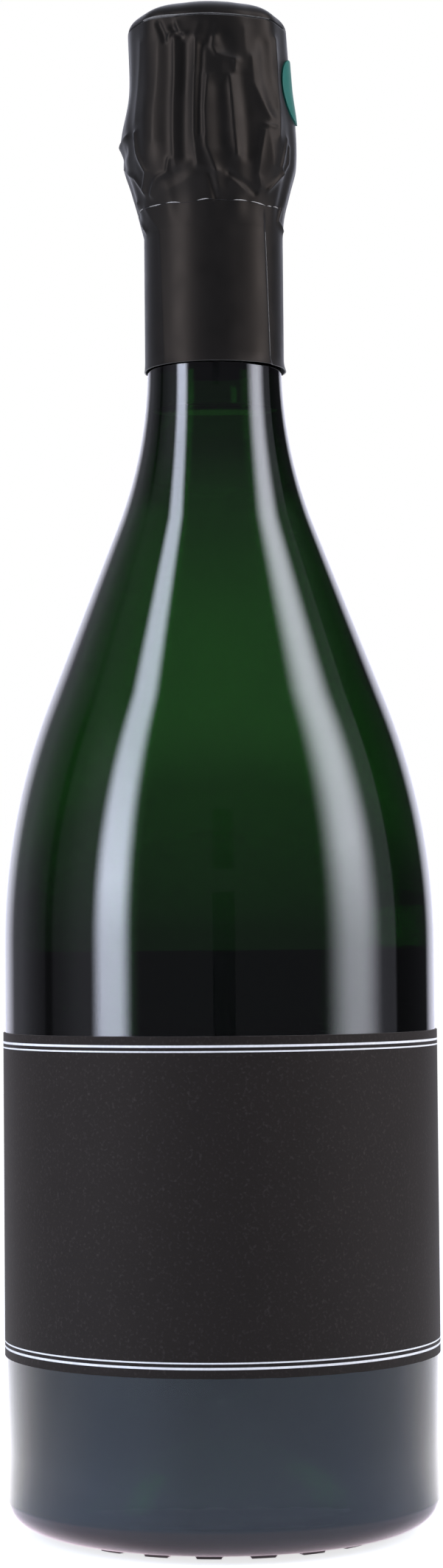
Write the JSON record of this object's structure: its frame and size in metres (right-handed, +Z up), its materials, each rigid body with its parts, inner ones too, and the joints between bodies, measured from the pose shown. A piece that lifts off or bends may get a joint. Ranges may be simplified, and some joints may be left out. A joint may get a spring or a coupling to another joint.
{
  "type": "sparkling wine bottle",
  "caption": "Sealed sparkling wine bottle with sloping shoulders, wrapped label, wired mushroom cork and a pleated foil hood that lifts off above its tear line.",
  "frame": {"origin": "centre of the base, on the plane that the bearing pads stand on", "axes": "+Z up along the bottle's axis towards the cork, -Y towards the middle of the label, +X to the right as the label is read"},
  "size_m": [0.0888, 0.0885, 0.3137],
  "materials": {
    "green_glass": "polished, very dark green",
    "wine": "clear liquid",
    "black_paper": "matt, with white double rules",
    "black_foil": "satin, pleated",
    "agglomerate_cork": "granular",
    "natural_cork": "smooth",
    "tin_plate": "satin",
    "steel_wire": "bright",
    "teal_paper": "semi-gloss"
  },
  "bodies": {
    "bottle": {"glass_bottle": "green_glass", "wine": "wine", "front_label": "black_paper", "foil_skirt": "black_foil"},
    "cork": {"cork_body": "agglomerate_cork", "cork_disc_upper": "natural_cork", "cork_disc_lower": "natural_cork"},
    "cage": {"cage_plaque": "tin_plate", "cage_frame_wire": "steel_wire", "cage_belt_wire": "steel_wire"},
    "hood": {"foil_hood": "black_foil", "foil_top_disc": "black_foil", "foil_round_sticker": "teal_paper"}
  },
  "joints": [
    {"name": "cork_pull", "type": "slide", "parent": "bottle", "child": "cork", "axis": [0, 0, 1], "range_m": [0, 0.045]},
    {"name": "cage_lift", "type": "slide", "parent": "cork", "child": "cage", "axis": [0, 0, 1], "range_m": [0, 0.04], "deforming": ["cage_frame_wire", "cage_belt_wire"]},
    {"name": "hood_lift", "type": "slide", "parent": "cage", "child": "hood", "axis": [0, 0, 1], "range_m": [0, 0.055], "deforming": ["foil_hood"]}
  ]
}
